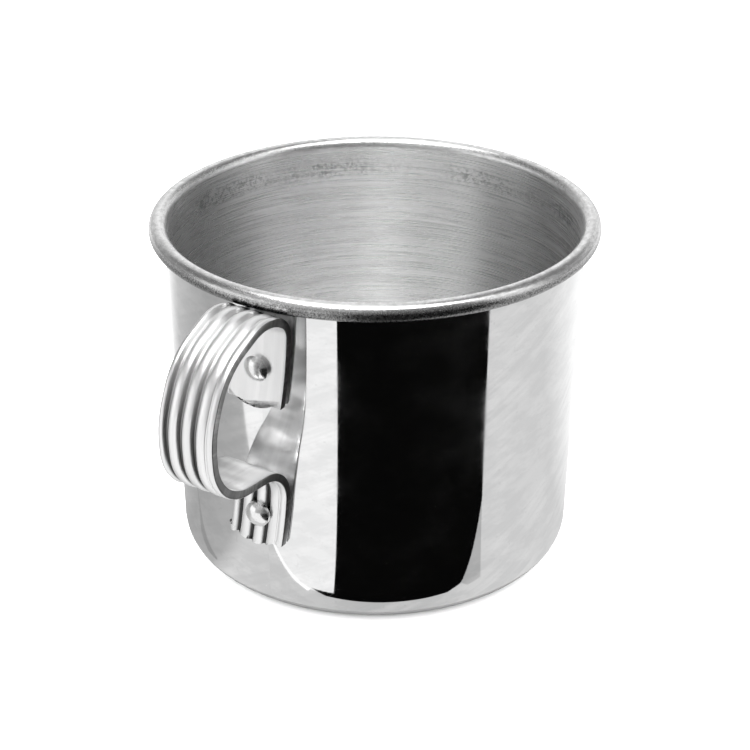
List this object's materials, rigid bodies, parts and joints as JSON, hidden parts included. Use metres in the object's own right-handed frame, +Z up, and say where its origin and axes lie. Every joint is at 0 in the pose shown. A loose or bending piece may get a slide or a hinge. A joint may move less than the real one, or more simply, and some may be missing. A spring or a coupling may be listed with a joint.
{
  "type": "drinking cup",
  "caption": "Small tapered aluminium cup with a rolled rim, a rounded base corner and a ribbed strap handle riveted to its wall.",
  "frame": {"origin": "centre of the cup's flat underside, on the axis of the cup", "axes": "+Z up along the cup's axis, +X out through the middle of the handle, +Y to the side"},
  "size_m": [0.1128, 0.09, 0.072],
  "materials": {
    "polished_aluminium": "mirror polished outside, fine spun lines inside",
    "satin_aluminium": "satin, drawn lengthways",
    "rivet_aluminium": "smooth, slightly worn"
  },
  "bodies": {
    "root": {"cup_body": "polished_aluminium", "handle_strap": "satin_aluminium", "upper_rivet": "rivet_aluminium", "lower_rivet": "rivet_aluminium"}
  },
  "joints": []
}
